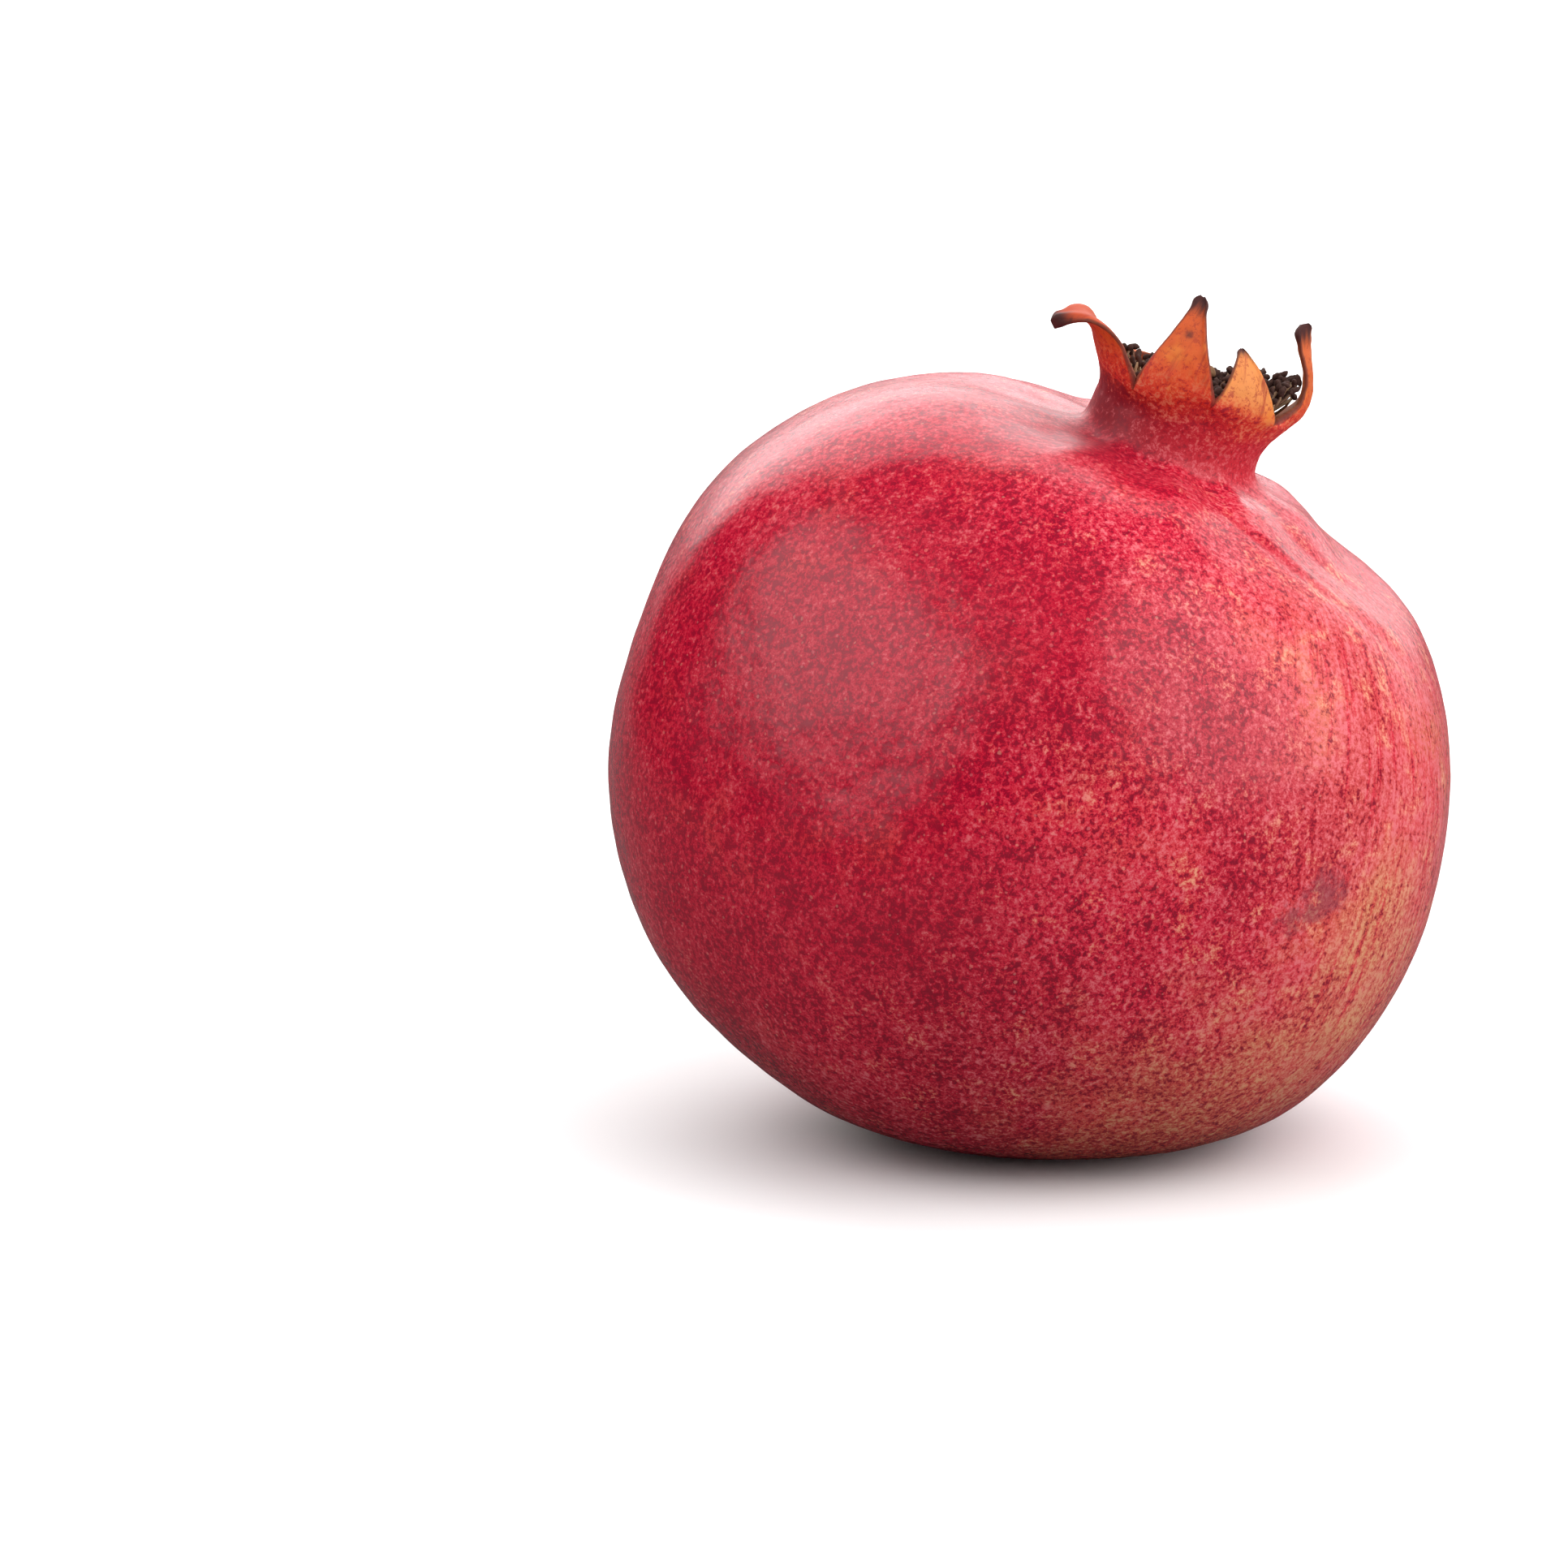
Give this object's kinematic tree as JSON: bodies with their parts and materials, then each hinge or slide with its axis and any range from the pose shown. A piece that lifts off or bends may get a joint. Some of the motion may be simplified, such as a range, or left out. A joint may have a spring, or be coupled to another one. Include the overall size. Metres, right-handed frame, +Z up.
{
  "type": "pomegranate",
  "caption": "Whole picked pomegranate with its sepal crown, leaned over on the flat spot under its belly.",
  "frame": {"origin": "the point of the flat spot that is right below the middle of the fruit's body, at floor level", "axes": "+Z up; +X to the right, the way the crown leans; -Y to the front"},
  "size_m": [0.0956, 0.0976, 0.0975],
  "materials": {
    "rind": "semi-gloss, finely speckled red rind that turns orange on the sepals",
    "stamens": "dry, dull brown filaments and anthers",
    "style": "dry, dull brown",
    "stalk": "dry cut stalk"
  },
  "bodies": {
    "root": {"fruit": "rind", "stamens": "stamens", "style": "style", "stem_stub": "stalk"}
  },
  "joints": []
}
